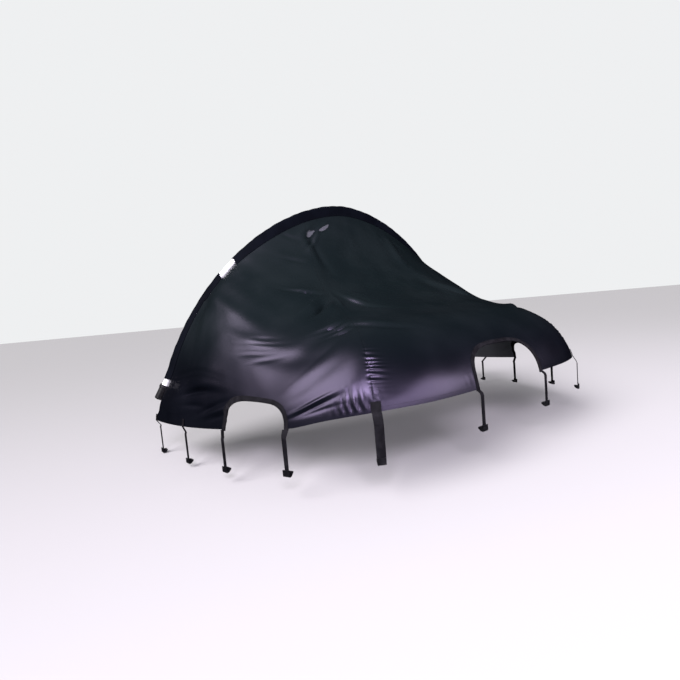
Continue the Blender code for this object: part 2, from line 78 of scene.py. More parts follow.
forward = Vector((math.sin(TURN) * math.cos(TILT), math.cos(TURN) * math.cos(TILT), -math.sin(TILT)))
level = Vector((math.cos(TURN), -math.sin(TURN), 0))
upright = level.cross(forward)
camera_right = math.cos(ROLL) * level + math.sin(ROLL) * upright
camera_up = math.cos(ROLL) * upright - math.sin(ROLL) * level
camera_data = bpy.data.cameras.new("camera")
camera_data.lens = LENS
camera = bpy.data.objects.new("camera", camera_data)
axes = Matrix((camera_right, camera_up, -forward)).transposed()
camera.matrix_world = Matrix.Translation(CAMERA_PLACE) @ axes.to_4x4()
bpy.context.scene.collection.objects.link(camera)
bpy.context.scene.camera = camera
print("camera looks along", [round(v, 3) for v in forward])

# %% [markdown]
# ## The shape of the taut cloth
# The solids were made from a few named sizes: the line of the lower edge, the round of the sides,
# the hoop, and ribs that run from hem to hoop. The same sizes are repeated here, so that a much
# finer cloth lies exactly where the solid lies. NumPy works on whole grids of points at once,
# which keeps the run short. A point of the cloth is named by its distance along the edge from the
# bow's middle, negative to the left, and its share of the way from hem (0) to hoop (1).

# %% Sizes of the lower edge, the round sides and the hoop
HALF_BEAM, BOW_LENGTH, BOW_SQUARENESS, CORNER_TRIM, BOW_Y = 0.850, 1.876, 4.156, 0.096, -0.863
SHEER_RISE, SHEER_LENGTH, SHEER_POWER = 0.108, 1.193, 2.44
SIDE_RADIUS, SIDE_RISE, EDGE_STANDOFF = 0.255, 0.008, 0.008
HOOP_HALF_WIDTH, HOOP_HEIGHT, HOOP_ROUNDNESS, HOOP_LEAN, HOOP_BASE = 0.785, 0.826, 1.795, 0.095, 0.003
FOOT_FLARE, FOOT_FLARE_TOP, FOOT_FLARE_SPAN = 0.024, 0.240, 0.120
POLE_RADIUS = 0.0125
CLOTH = 0.002
EDGE_SETBACK, EDGE_SLOPE, ARCH_CORNER_DEGREES = 0.0155, 2.4, 50.0
REAR, SEAM_AT, BLEND_FROM = 1.377, 0.470, 0.560
SEAM_WIDTH, TOP_SLEEVE_END_DEGREES, SIDE_SLEEVE_START_DEGREES, SIDE_SLEEVE_END = 0.016, 40.4, 45.3, 0.205

HEM = (
    # along, height above the middle of the side's round
    (0.000, 0.044),
    (0.300, 0.047),
    (0.470, 0.055),
    (0.590, 0.057),
    (0.705, 0.051),
    (0.939, 0.060),
    (1.420, 0.062),
)
REAR_EDGE = (
    # share from hem to hoop, how far the cloth runs past REAR
    (0.00, 0.013),
    (0.04, 0.006),
    (0.08, -0.010),
    (0.32, -0.010),
    (0.40, 0.000),
    (1.00, 0.000),
)
RIBS = (
    # along, hoop_degrees, ridge_share, ridge_height, knee_share, knee_height
    (0.000, 0.0, 0.58, 0.420, 0.84, 0.470),
    (0.155, 5.0, 0.58, 0.420, 0.84, 0.470),
    (0.300, 10.0, 0.56, 0.417, 0.83, 0.470),
    (0.400, 13.5, 0.54, 0.413, 0.82, 0.472),
    (0.470, 16.5, 0.50, 0.410, 0.80, 0.475),
    (0.550, 22.0, 0.47, 0.405, 0.80, 0.482),
    (0.620, 27.5, 0.45, 0.400, 0.80, 0.490),
    (0.705, 34.0, 0.43, 0.398, 0.79, 0.500),
    (0.800, 40.0, 0.40, 0.395, 0.77, 0.505),
    (0.939, 45.0, 0.38, 0.370, 0.74, 0.490),
    (1.050, 47.3, 0.36, 0.330, 0.72, 0.450),
    (1.158, 48.6, 0.35, 0.270, 0.70, 0.410),
    (1.270, 49.5, 0.34, 0.220, 0.68, 0.380),
    (1.377, 50.0, 0.33, 0.200, 0.66, 0.360),
)
NOTCHES = (
    # name, along, half_width, height, squareness
    ("bow", 0.000, 0.149, 0.115, 3.0),
    ("right", 0.820, 0.111, 0.071, 2.5),
    ("left", -0.820, 0.111, 0.071, 2.5),
)
print("ribs:", len(RIBS), "notches:", len(NOTCHES))

# %% Curves through tables, and the lower edge
EDGE_SAMPLES = 1601


def smooth(table, x, column):
    """The value of a column at x, on a smooth curve through the table's rows."""
    rows = np.array(table)
    xs, ys = rows[:, 0], rows[:, column]
    last = len(xs) - 1
    i = np.clip(np.searchsorted(xs, x, side="right") - 1, 0, last - 1)
    before, after = np.maximum(i - 1, 0), np.minimum(i + 2, last)
    slope0 = (ys[i + 1] - ys[before]) / (xs[i + 1] - xs[before])
    slope1 = (ys[after] - ys[i]) / (xs[after] - xs[i])
    span = xs[i + 1] - xs[i]
    f = (x - xs[i]) / span
    ends = ys[i] * (1 + 2 * f) * (1 - f) ** 2 + ys[i + 1] * f * f * (3 - 2 * f)
    return ends + span * (slope0 * f * (1 - f) ** 2 - slope1 * f * f * (1 - f))


def ease(f):
    f = np.clip(f, 0, 1)
    return f * f * (3 - 2 * f)


def unit(vectors):
    return vectors / np.linalg.norm(vectors, axis=-1, keepdims=True)


def dot(a, b):
    return (a * b).sum(axis=-1)


def vec(x, y, z):
    """Vectors from parts, each a number or a grid."""
    return np.stack(np.broadcast_arrays(x, y, z), axis=-1).astype(float)


turn = np.linspace(0, 1, EDGE_SAMPLES)[:-1] ** 2 * math.pi / 2
power = 2 / BOW_SQUARENESS
edge_x = HALF_BEAM * np.sin(turn) ** power * (1 - CORNER_TRIM * np.sin(2 * turn))
edge_back = BOW_LENGTH * (1 - np.cos(turn) ** power)
edge_z = SHEER_RISE * np.clip(1 - edge_back / SHEER_LENGTH, 0, None) ** SHEER_POWER
edge_points = vec(edge_x, BOW_Y + edge_back, edge_z)
edge_walk = np.concatenate([[0], np.cumsum(np.linalg.norm(np.diff(edge_points, axis=0), axis=1))])


def edge_line(along):
    """The line that the lower edge follows, at a distance from the bow's middle."""
    place = [np.interp(np.abs(along), edge_walk, edge_points[:, k]) for k in range(3)]
    return vec(np.copysign(place[0], along), place[1], place[2])


def outward(along):
    """The level direction that points outward, square to the edge."""
    run = edge_line(along + 0.01) - edge_line(along - 0.01)
    return unit(vec(run[..., 1], -run[..., 0], 0))


print("edge length on one side:", round(float(edge_walk[-1]), 3), "m")


# %% The hoop, and the cloth between hem and hoop
def hoop(degrees):
    """The pole's centre, by the angle down from the top, negative to the left."""
    angle = np.radians(np.abs(degrees))
    rise = np.cos(angle) ** (2 / HOOP_ROUNDNESS)
    z = HOOP_BASE + HOOP_HEIGHT * rise
    x = HOOP_HALF_WIDTH * np.sin(angle) ** (2 / HOOP_ROUNDNESS)
    x = x + FOOT_FLARE * ease((FOOT_FLARE_TOP - z) / FOOT_FLARE_SPAN)
    return vec(np.copysign(x, degrees), -HOOP_LEAN * rise, z)


def hoop_degrees(side, height):
    """The angle down from the hoop's top at which its leg has this height."""
    rise = np.clip((height - HOOP_BASE) / HOOP_HEIGHT, 0, 1)
    return side * np.degrees(np.arccos(rise ** (HOOP_ROUNDNESS / 2)))


def across_hoop(degrees, direction):
    """The part of a direction that is square to the pole, as a unit vector."""
    run = unit(hoop(degrees + 0.5) - hoop(degrees - 0.5))
    return unit(direction - run * dot(run, direction)[..., None])


def hoop_edge(degrees):
    """The cloth's edge beside the pole."""
    slope = EDGE_SLOPE * (1 - ease(np.abs(degrees) / ARCH_CORNER_DEGREES))
    return hoop(degrees) + across_hoop(degrees, vec(0, -1, -slope)) * EDGE_SETBACK


def rib(along):
    """The round's centre, the outward direction, the angles of hem and lift-off, and the free curve."""
    distance = np.abs(along)
    out, foot = outward(along), edge_line(along)
    centre = foot - out * (SIDE_RADIUS + EDGE_STANDOFF) + vec(0, 0, SIDE_RISE)
    top = hoop_edge(np.copysign(smooth(RIBS, distance, 1), along))
    ridge = foot + (top - foot) * smooth(RIBS, distance, 2)[..., None]
    ridge[..., 2] = smooth(RIBS, distance, 3)
    knee = foot + (top - foot) * smooth(RIBS, distance, 4)[..., None]
    knee[..., 2] = smooth(RIBS, distance, 5)
    radius = SIDE_RADIUS + CLOTH
    across, up = dot(ridge - centre, out), ridge[..., 2] - centre[..., 2]
    lift_off = np.arctan2(up, across) - np.arccos(radius / np.hypot(across, up))
    hem = np.arcsin(smooth(HEM, distance, 1) / radius)
    lift_off = np.maximum(lift_off, hem)
    start = centre + radius * (out * np.cos(lift_off)[..., None] + vec(0, 0, np.sin(lift_off)))
    return centre, out, hem, lift_off, (start, ridge, knee, top)


def free_length(free):
    return sum(np.linalg.norm(free[i + 1] - free[i], axis=-1) for i in range(3))


def rib_length(along):
    """The length from hem to hoop that share 1 stands for."""
    hem, lift_off, free = rib(along)[2:]
    return (SIDE_RADIUS + CLOTH) * (lift_off - hem) + free_length(free)


def draped(along, share):
    """The cloth round the side, and then free on a smooth curve up to the hoop."""
    centre, out, hem, lift_off, (a, b, c, d) = rib(along)
    radius = SIDE_RADIUS + CLOTH
    arc, line = radius * (lift_off - hem), free_length((a, b, c, d))
    up = share * (arc + line)
    angle = hem + np.minimum(up, arc) / radius
    on_side = centre + radius * (out * np.cos(angle)[..., None] + vec(0, 0, np.sin(angle)))
    f = (np.maximum(up - arc, 0) / line)[..., None]
    g = 1 - f
    curve = a * g**3 + b * (3 * g * g * f) + c * (3 * g * f * f) + d * f**3
    return np.where((up < arc)[..., None], on_side, curve)


def taut(along, share):
    """The taut cloth: the draped ribs, eased into the hoop's legs at the rear."""
    along, share = np.broadcast_arrays(np.asarray(along, float), np.asarray(share, float))
    side = np.copysign(1.0, along)
    rear = draped(side * REAR, share)
    leg = hoop_edge(hoop_degrees(side, rear[..., 2]))
    weight = ease((np.abs(along) - BLEND_FROM) / (REAR - BLEND_FROM))
    return draped(along, share) + (leg - rear) * weight[..., None]


print("cloth from hem to hoop at the middle:", round(float(rib_length(np.array(0.0))), 3), "m")

# %% [markdown]
# ## Folds
# Cloth that is pulled at a few points makes long soft folds between them. Each fold is a row of a
# table: where it is, how long and wide it is, which way it runs and how high it stands. A smooth
# bell of that size is added for each. A cloth simulation could make folds too, but they would not
# fall where the real ones fall. The first table holds the large folds, which the solids have too.
# The second holds the small creases. A few of its rows lie on a large fold with the other sign,
# and soften it. The rows of puckers and gathers come from waves along the seams and the hem.

# %% Large folds, as in the solids
FOLDS = (
    # along, up the cloth, half_length, half_width, turn_degrees, height
    (-0.515, 0.536, 0.110, 0.026, 59, -0.0070),
    (-0.455, 0.500, 0.120, 0.030, 62, 0.0050),
    (-0.580, 0.590, 0.120, 0.030, 55, 0.0050),
    (-0.305, 0.510, 0.180, 0.030, -40, -0.0050),
    (-0.250, 0.580, 0.170, 0.034, -34, 0.0055),
    (-0.400, 0.310, 0.120, 0.028, -14, 0.0050),
    (-0.560, 0.330, 0.110, 0.026, 44, 0.0050),
    (-0.600, 0.270, 0.110, 0.024, 44, -0.0045),
    (-0.790, 0.245, 0.130, 0.026, -6, 0.0050),
    (-0.780, 0.195, 0.120, 0.024, -6, -0.0045),
    (-1.090, 0.098, 0.130, 0.024, -15, -0.0070),
    (-1.100, 0.155, 0.130, 0.028, -12, 0.0060),
    (-0.950, 0.400, 0.200, 0.045, -20, 0.0040),
    (-0.480, 0.950, 0.100, 0.028, -70, 0.0055),
    (-0.420, 0.920, 0.110, 0.028, -60, -0.0050),
    (-0.640, 0.105, 0.100, 0.026, 25, -0.0050),
    (0.020, 0.440, 0.250, 0.050, 3, 0.0040),
    (0.480, 0.560, 0.120, 0.030, -56, -0.0055),
    (0.540, 0.610, 0.120, 0.030, -52, 0.0050),
    (0.280, 0.500, 0.170, 0.032, 36, -0.0050),
    (0.230, 0.570, 0.170, 0.034, 30, 0.0050),
    (0.410, 0.290, 0.120, 0.028, 12, 0.0045),
    (0.760, 0.230, 0.120, 0.026, 8, 0.0050),
    (0.640, 0.120, 0.100, 0.026, -24, -0.0050),
    (1.060, 0.110, 0.130, 0.026, 16, -0.0065),
    (1.080, 0.170, 0.130, 0.028, 12, 0.0055),
    (0.480, 0.940, 0.100, 0.028, 64, 0.0050),
)
CREASES = (
    # along, up the cloth, half_length, half_width, turn_degrees, height
    # fan under the hoop's left shoulder
    (-0.444, 0.994, 0.065, 0.009, 36, -0.0072),
    (-0.470, 1.012, 0.060, 0.011, 38, 0.0055),
    (-0.453, 0.962, 0.062, 0.009, 46, -0.0072),
    (-0.425, 0.975, 0.062, 0.010, 44, 0.0048),
    (-0.320, 1.046, 0.068, 0.009, 13, -0.0055),
    (-0.300, 1.066, 0.080, 0.010, 15, 0.0055),
    (-0.563, 0.950, 0.045, 0.009, 4, -0.0035),
    (-0.551, 0.830, 0.045, 0.009, 13, -0.0035),
    (-0.545, 0.850, 0.055, 0.012, 13, 0.0020),
    # star over the left corner
    (-0.530, 0.497, 0.070, 0.009, 56, -0.0140),
    (-0.505, 0.480, 0.080, 0.013, 56, 0.0066),
    (-0.558, 0.515, 0.080, 0.013, 56, 0.0058),
    (-0.522, 0.455, 0.040, 0.006, 51, -0.0025),
    (-0.553, 0.612, 0.060, 0.008, 13, -0.0065),
    (-0.550, 0.630, 0.065, 0.012, 13, 0.0030),
    (-0.520, 0.602, 0.050, 0.008, 34, -0.0030),
    (-0.436, 0.545, 0.085, 0.012, -87, 0.0040),
    (-0.262, 0.602, 0.065, 0.009, -35, -0.0035),
    (-0.332, 0.548, 0.080, 0.009, -47, -0.0070),
    (-0.315, 0.568, 0.085, 0.013, -46, 0.0045),
    (-0.238, 0.460, 0.050, 0.009, -36, -0.0035),
    # step and pleats above the left corner seam
    (-0.385, 0.252, 0.100, 0.009, -17, -0.0055),
    (-0.385, 0.275, 0.110, 0.014, -17, 0.0035),
    (-0.555, 0.311, 0.045, 0.006, 22, -0.0050),
    (-0.550, 0.323, 0.045, 0.008, 22, 0.0030),
    (-0.543, 0.290, 0.042, 0.006, 20, -0.0050),
    (-0.540, 0.301, 0.042, 0.007, 21, 0.0030),
    (-0.541, 0.257, 0.042, 0.006, 10, -0.0040),
    (-0.545, 0.270, 0.042, 0.007, 14, 0.0030),
    # long pulls across the left side
    (-0.743, 0.264, 0.034, 0.006, 14, -0.0014),
    (-0.758, 0.241, 0.062, 0.006, 10, -0.0020),
    (-0.772, 0.220, 0.048, 0.006, 9, -0.0022),
    (-0.779, 0.202, 0.054, 0.006, 12, -0.0019),
    (-0.753, 0.186, 0.046, 0.006, 20, -0.0015),
    (-0.790, 0.245, 0.130, 0.026, -6, -0.0024),
    (-0.780, 0.195, 0.120, 0.024, -6, 0.0022),
    (-1.130, 0.152, 0.160, 0.008, -9, -0.0026),
    (-1.118, 0.134, 0.150, 0.007, -8, -0.0022),
    (-1.090, 0.098, 0.130, 0.024, -15, 0.0048),
    (-1.100, 0.155, 0.130, 0.028, -12, -0.0038),
    (-1.075, 0.088, 0.085, 0.008, -2, -0.0085),
    (-1.070, 0.104, 0.100, 0.012, -3, 0.0028),
    (-1.100, 0.056, 0.060, 0.006, -5, -0.0030),
    # leaf and double crease at the hem, beside the left notch's straps
    (-0.985, 0.036, 0.062, 0.006, 12, 0.0050),
    (-0.980, 0.024, 0.062, 0.005, 12, -0.0045),
    (-0.985, 0.050, 0.068, 0.006, 12, -0.0045),
    (-0.640, 0.105, 0.100, 0.026, 25, 0.0026),
    (-0.632, 0.036, 0.060, 0.005, 12, -0.0030),
    (-0.632, 0.047, 0.065, 0.006, 14, 0.0035),
    (-0.628, 0.024, 0.055, 0.005, 5, -0.0028),
    # the right side has creases of its own
    (0.455, 0.985, 0.065, 0.009, -40, -0.0045),
    (0.430, 1.005, 0.070, 0.011, -38, 0.0035),
    (0.540, 0.925, 0.055, 0.010, -55, -0.0035),
    (0.505, 0.560, 0.070, 0.010, -58, -0.0060),
    (0.525, 0.590, 0.080, 0.013, -56, 0.0040),
    (0.300, 0.560, 0.085, 0.010, 40, -0.0040),
    (0.320, 0.582, 0.085, 0.013, 40, 0.0030),
    (0.400, 0.262, 0.090, 0.009, 14, -0.0045),
    (0.395, 0.284, 0.100, 0.013, 14, 0.0030),
    (0.555, 0.290, 0.045, 0.007, -24, -0.0045),
    (0.550, 0.303, 0.045, 0.008, -24, 0.0030),
    (0.770, 0.225, 0.055, 0.007, -8, -0.0040),
    (0.760, 0.243, 0.055, 0.008, -8, 0.0030),
    (0.745, 0.200, 0.045, 0.006, -14, -0.0035),
    (1.060, 0.095, 0.095, 0.009, 6, -0.0075),
    (1.060, 0.114, 0.110, 0.012, 6, 0.0040),
    (1.140, 0.150, 0.130, 0.008, 10, -0.0030),
    (0.980, 0.034, 0.060, 0.006, -10, 0.0045),
    (0.985, 0.022, 0.060, 0.005, -10, -0.0040),
    (0.635, 0.040, 0.060, 0.006, -14, -0.0045),
    (0.630, 0.052, 0.060, 0.007, -14, 0.0035),
)


def bells(table, along, up):
    """The heights of a table's folds, added together."""
    total = np.zeros(np.broadcast(along, up).shape)
    for middle, place, half_length, half_width, turned, height in table:
        angle = math.radians(turned)
        run = (along - middle) * math.cos(angle) + (up - place) * math.sin(angle)
        across = (up - place) * math.cos(angle) - (along - middle) * math.sin(angle)
        total += height * np.exp(-((run / half_length) ** 2) - (across / half_width) ** 2)
    return total


print("folds:", len(FOLDS), "creases:", len(CREASES))


# %% Puckers at the seams, gathers at the hem, and all folds together
PUCKER_HEIGHT, PUCKER_SPACING, PUCKER_DRIFT = 0.0011, 0.0122, 0.0310
PUCKERS_MIDDLE, PUCKERS_HALF_HEIGHT = 0.118, 0.052
PUCKER_LENGTH, PUCKER_LENGTH_PAST_SEAM = 0.034, 0.008
GATHER_HEIGHT, GATHER_SPACING, GATHER_LENGTH = 0.0030, 0.0200, 0.038
GATHERS_FROM_SEAM, GATHERS_HALF_WIDTH = 0.055, 0.045
FRONT_GATHERS_AT, FRONT_GATHERS_HALF_WIDTH = 0.200, 0.090
GROOVE_DEPTH, GROOVE_WIDTH = 0.0002, 0.0030
DRIFT_HEIGHT, RIPPLE_HEIGHT = 0.0009, 0.0001
FAINT = 0.12
LARGE_FADE, SMALL_FADE, SEAM_FADE = (0.030, 0.060), (0.012, 0.030), (0.004, 0.020)
ALONG_STEP, SHARE_STEP = 0.002, 0.004


def wave(x, spacing):
    return np.sin(2 * math.pi * x / spacing)


def puckers(along, up, seam):
    """Short puckers that the thread pulls up square to a corner seam, longest on its bow side."""
    this_side = np.where(along * seam > 0, 1, 0)
    beside = (np.abs(seam) - np.abs(along)) * this_side
    length = np.where(beside > 0, PUCKER_LENGTH, PUCKER_LENGTH_PAST_SEAM)
    reach = np.exp(-((beside / length) ** 2)) * this_side
    strong = np.exp(-(((up - PUCKERS_MIDDLE) / PUCKERS_HALF_HEIGHT) ** 4)) + FAINT
    ridges = wave(up + 0.14 * beside + 0.003 * wave(up, 0.057), PUCKER_SPACING)
    return PUCKER_HEIGHT * (ridges + 0.4 * wave(up, PUCKER_DRIFT)) * reach * strong


def gathers(along, up):
    """Small upright gathers over the hem, strongest outside the corner seams and faint in front."""
    from_seam = np.abs(along) - SEAM_AT
    strong = np.exp(-(((from_seam - GATHERS_FROM_SEAM) / GATHERS_HALF_WIDTH) ** 2))
    in_front = (np.abs(along) - FRONT_GATHERS_AT) / FRONT_GATHERS_HALF_WIDTH
    strong = strong + FAINT * np.exp(-(in_front**2))
    reach = ease(up / 0.010) * np.exp(-((up / GATHER_LENGTH) ** 2))
    ridges = wave(along + 0.12 * up + 0.003 * wave(along, 0.11), GATHER_SPACING)
    return GATHER_HEIGHT * ridges * strong * reach


def groove(along):
    """The corner seams, pulled a little way into the cloth by their thread."""
    return -GROOVE_DEPTH * np.exp(-(((np.abs(along) - SEAM_AT) / GROOVE_WIDTH) ** 2))


def slack(along, up):
    """The slight unevenness of cloth that is nowhere quite flat."""
    drift = wave(along + 0.30 * up, 0.230) * wave(up - 0.20 * along, 0.190)
    ripple = wave(along - 0.55 * up, 0.083) * wave(up + 0.35 * along, 0.117)
    return DRIFT_HEIGHT * drift + RIPPLE_HEIGHT * ripple


def fold_height(along, up, length):
    """How far all folds lift the cloth, nothing along the hem and the hoop."""
    from_edge = np.minimum(np.minimum(up, length - up), REAR - np.abs(along))

    def fade(start, span):
        return ease((from_edge - start) / span)

    large = bells(FOLDS, along, up) * fade(*LARGE_FADE)
    small = (bells(CREASES, along, up) + slack(along, up)) * fade(*SMALL_FADE)
    seams = puckers(along, up, SEAM_AT) + puckers(along, up, -SEAM_AT) + gathers(along, up)
    return large + small + (seams + groove(along)) * fade(*SEAM_FADE)


def cloth(along, share, lift=0.0):
    """The cloth's outer face with its folds, moved off by lift, and the taut cloth's normal."""
    along, share = np.broadcast_arrays(np.asarray(along, float), np.asarray(share, float))
    side = taut(along + ALONG_STEP, share) - taut(along - ALONG_STEP, share)
    rise = taut(along, share + SHARE_STEP) - taut(along, share - SHARE_STEP)
    normal = unit(np.cross(side, rise))
    length = rib_length(along)
    height = fold_height(along, share * length, length) + lift
    return taut(along, share) + normal * height[..., None], normal


middle_height = cloth(0.0, np.linspace(0, 1, 50))[0][:, 2]
print("cloth over the middle, m:", [round(float(z), 3) for z in middle_height[::10]])

# %% [markdown]
# ## Meshes from grids
# A sheet of cloth is a grid of points with a thickness. The grid gives clean four-sided faces,
# and its UV map is simply the place on the cloth in metres, so weave and stitches can be set at
# real size later. The Solidify modifier gives the thickness, and a Boolean cuts each notch.

# %% Helpers that make a mesh
def make_piece(name, points, faces, uv=None, sharp=35):
    """An object from points and faces. Edges bent more than sharp degrees stay crisp."""
    mesh = bpy.data.meshes.new(name)
    mesh.from_pydata([tuple(p) for p in np.asarray(points).reshape(-1, 3)], [], faces)
    mesh.validate()
    if uv is not None:
        layer = mesh.uv_layers.new(name="cloth_metres")
        corner = np.zeros(len(mesh.loops), np.int32)
        mesh.loops.foreach_get("vertex_index", corner)
        layer.data.foreach_set("uv", np.asarray(uv).reshape(-1, 2)[corner].astype(np.float32).ravel())
    mesh.shade_smooth()
    mesh.set_sharp_from_angle(angle=math.radians(sharp))
    piece = bpy.data.objects.new(name, mesh)
    bpy.context.scene.collection.objects.link(piece)
    return piece


def grid_faces(rows, columns):
    """The four-sided faces between a grid's points."""
    i, j = np.meshgrid(np.arange(rows - 1), np.arange(columns - 1), indexing="ij")
    first = (i * columns + j).ravel()
    return np.stack([first, first + 1, first + columns + 1, first + columns], axis=1).tolist()


def tube_faces(count, around):
    """Faces of a solid swept through count sections of around points each, with closed ends."""
    faces = []
    for i in range(count - 1):
        for j in range(around):
            k = (j + 1) % around
            faces.append((i * around + j, i * around + k, (i + 1) * around + k, (i + 1) * around + j))
    faces.append(tuple(range(around - 1, -1, -1)))
    faces.append(tuple(range((count - 1) * around, count * around)))
    return faces


def apply_modifiers(piece):
    """Turns a piece's modifiers into its mesh."""
    depsgraph = bpy.context.evaluated_depsgraph_get()
    made = bpy.data.meshes.new_from_object(piece.evaluated_get(depsgraph), depsgraph=depsgraph)
    piece.modifiers.clear()
    piece.data = made


# %% The three panels
PANEL_THICKNESS = 0.0014
SEAM_GAP = 0.00003
ROWS, ROW_SAMPLES, HEM_BAND, HEM_CLOSENESS = 200, 1000, 0.17, 2.2
STEP, CORNER_AT, CORNER_REACH = 0.0062, 0.52, 0.12
SEAM_COLUMNS = np.array((-4, -2.6, -1.3, 1.3, 2.6, 4)) / 1000
CUTTER_REACH, CUTTER_POINTS = 0.03, 61
REAR_BAND = 0.05


def notch_outline(notch, t):
    """(along, height above the hem) on a notch's arch, for t from 0 to 1."""
    middle, half_width, height, squareness = notch[1:]
    angle = math.pi * t
    across = np.copysign(np.abs(np.cos(angle)) ** (2 / squareness), np.cos(angle))
    return middle - half_width * across, height * np.sin(angle) ** (2 / squareness)


def make_notch_cutter(notch):
    """A plug with the notch's outline that stands square through the cloth."""
    name, middle, half_width = notch[:3]
    along, height = notch_outline(notch, np.linspace(0, 1, CUTTER_POINTS))
    along = np.append(along, [middle + half_width, middle - half_width])
    height = np.append(np.clip(height, 0, None), [-CUTTER_REACH, -CUTTER_REACH])
    share = height / rib_length(along)
    rings = np.stack([cloth(along, share, lift)[0] for lift in (CUTTER_REACH, -CUTTER_REACH)])
    return make_piece(f"cutter_{name}", rings, tube_faces(2, len(along)))


def close_rows():
    """Shares from hem to hoop, about three times closer over the hem, where the gathers are."""
    even = np.linspace(0, 1, ROW_SAMPLES)
    density = np.cumsum(1 + HEM_CLOSENESS * np.exp(-((even / HEM_BAND) ** 4)))
    return np.interp(np.linspace(density[0], density[-1], ROWS), density, even)


def make_panel(name, along, notch, rear=0):
    """One cut panel of cloth. rear is +1 or -1 where one side is the cover's rear edge."""
    a, s = np.meshgrid(along, close_rows())
    if rear:
        near = ease((np.abs(a) - (REAR - REAR_BAND)) / REAR_BAND)
        a = a + rear * near * smooth(REAR_EDGE, s, 1)
    points = cloth(a, s)[0]
    uv = np.stack([a, s * rib_length(a)], axis=-1)
    piece = make_piece(name, points, grid_faces(*a.shape), uv)
    thick = piece.modifiers.new("cloth", "SOLIDIFY")
    thick.thickness, thick.offset = PANEL_THICKNESS, -1
    cutter = make_notch_cutter(notch)
    cut = piece.modifiers.new("notch", "BOOLEAN")
    cut.object, cut.solver = cutter, "EXACT"
    apply_modifiers(piece)
    bpy.data.objects.remove(cutter)
    piece.data.set_sharp_from_angle(angle=math.radians(50))
    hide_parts(name)
    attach(piece, "root")
    return piece


def steps(start, end):
    """Even steps, halved near the corners, with the closest beside each corner seam."""
    even = np.linspace(start, end, int(round(abs(end - start) / STEP)) + 1)
    halves = (even[1:] + even[:-1]) / 2
    even = np.append(even, halves[np.abs(np.abs(halves) - CORNER_AT) < CORNER_REACH])
    close = np.append(-SEAM_AT + SEAM_COLUMNS, SEAM_AT + SEAM_COLUMNS)
    return np.unique(np.append(even, close[(close > start) & (close < end)]))


bow_notch, right_notch, left_notch = NOTCHES
panels = {
    "panel_bow": make_panel("panel_bow", steps(-SEAM_AT + SEAM_GAP, SEAM_AT - SEAM_GAP), bow_notch),
    "panel_right": make_panel("panel_right", steps(SEAM_AT + SEAM_GAP, REAR), right_notch, rear=1),
    "panel_left": make_panel("panel_left", steps(-REAR, -SEAM_AT - SEAM_GAP), left_notch, rear=-1),
}
for name, piece in panels.items():
    print(name, "faces:", len(piece.data.polygons))

# %% [markdown]
# ## Sleeves
# The pole runs in three lengths of a darker, closer cloth, folded over it and sewn to the panels.
# Each is swept: a section that wraps the pole and ends in two flaps is placed every centimetre or
# so along the hoop. The wrap is a little uneven, because slack cloth never lies round.

# %% Make the sleeves
SLEEVE_WALL = 0.0013
SLEEVE_BORE = POLE_RADIUS + 0.0014
SLEEVE_TURNS = np.radians(np.linspace(104, -104, 15))
SLEEVE_CUT = 0.09
FLAP_GAP = 0.0004
TOP_STATIONS, ARCH_STATIONS, LEG_STATIONS = 150, 24, 64
LEG_TOP_SHARE, LEG_LOW_SHARE, LEG_SEAM_TOP_SHARE = 0.925, 0.30, 0.965


def share_of_seam(along):
    """The share at which the sleeve is sewn on, the same way in from the pole on every rib."""
    free = rib(along)[4]
    end = free[3] - free[2]
    square = across_hoop(np.copysign(smooth(RIBS, np.abs(along), 1), along), end)
    end_length = np.linalg.norm(end, axis=-1)
    width = SEAM_WIDTH / np.maximum(dot(end, square) / end_length, 0.4)
    return 1 - width / (3 * end_length) * free_length(free) / rib_length(along)


def sleeve_sections(edge, seam, degrees, phase):
    """Sections from the seam over the pole and back under the cloth, one for each station."""
    pole = hoop(degrees)
    tail, normal = cloth(*seam)
    edge_normal = cloth(*edge)[1]
    inward = across_hoop(degrees, tail - pole)
    over = across_hoop(degrees, edge_normal - inward * dot(edge_normal, inward)[..., None])
    walked = np.concatenate([[0], np.cumsum(np.linalg.norm(np.diff(pole, axis=0), axis=1))])

    def around(radius, angle):
        slackness = 0.0006 * wave(walked + 0.01 * math.sin(3 * angle) + phase, 0.047)
        slackness = slackness + 0.0005 * wave(walked + 0.02 * math.cos(2 * angle) + phase, 0.113)
        r = (radius + slackness * (0.5 + 0.5 * math.cos(angle)))[:, None]
        return pole + r * (over * math.sin(angle) - inward * math.cos(angle))

    outer_lift, inner_lift = FLAP_GAP + SLEEVE_WALL, FLAP_GAP
    below = PANEL_THICKNESS + FLAP_GAP
    section = [tail + normal * outer_lift]
    section += [around(SLEEVE_BORE + SLEEVE_WALL, angle) for angle in SLEEVE_TURNS]
    section += [tail - normal * (below + SLEEVE_WALL), tail - normal * below]
    section += [around(SLEEVE_BORE, angle) for angle in SLEEVE_TURNS[::-1]]
    section.append(tail + normal * inner_lift)
    return np.stack(section, axis=1)


thread_lines = {"thread_sleeves": [], "thread_bindings": []}


def make_sleeve(name, edge, seam, degrees, side, phase):
    """One length of sleeve, and the line for the thread that sews down its outer flap."""
    sections = sleeve_sections(edge, seam, degrees, phase)
    on_flap = sections[:, 0] * 0.85 + sections[:, 1] * 0.15
    thread_lines["thread_sleeves"].append((on_flap, cloth(*seam)[1]))
    if side > 0:
        sections = sections[:, ::-1]
    walked = np.concatenate([[0], np.cumsum(np.linalg.norm(np.diff(hoop(degrees), axis=0), axis=1))])
    count, around = sections.shape[:2]
    u = np.repeat(walked[:, None], around, axis=1)
    v = np.repeat(np.linspace(0, SLEEVE_CUT, around)[None], count, axis=0)
    piece = make_piece(name, sections, tube_faces(count, around), np.stack([u, v], axis=-1), sharp=50)
    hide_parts(name)
    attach(piece, "root")
    return piece


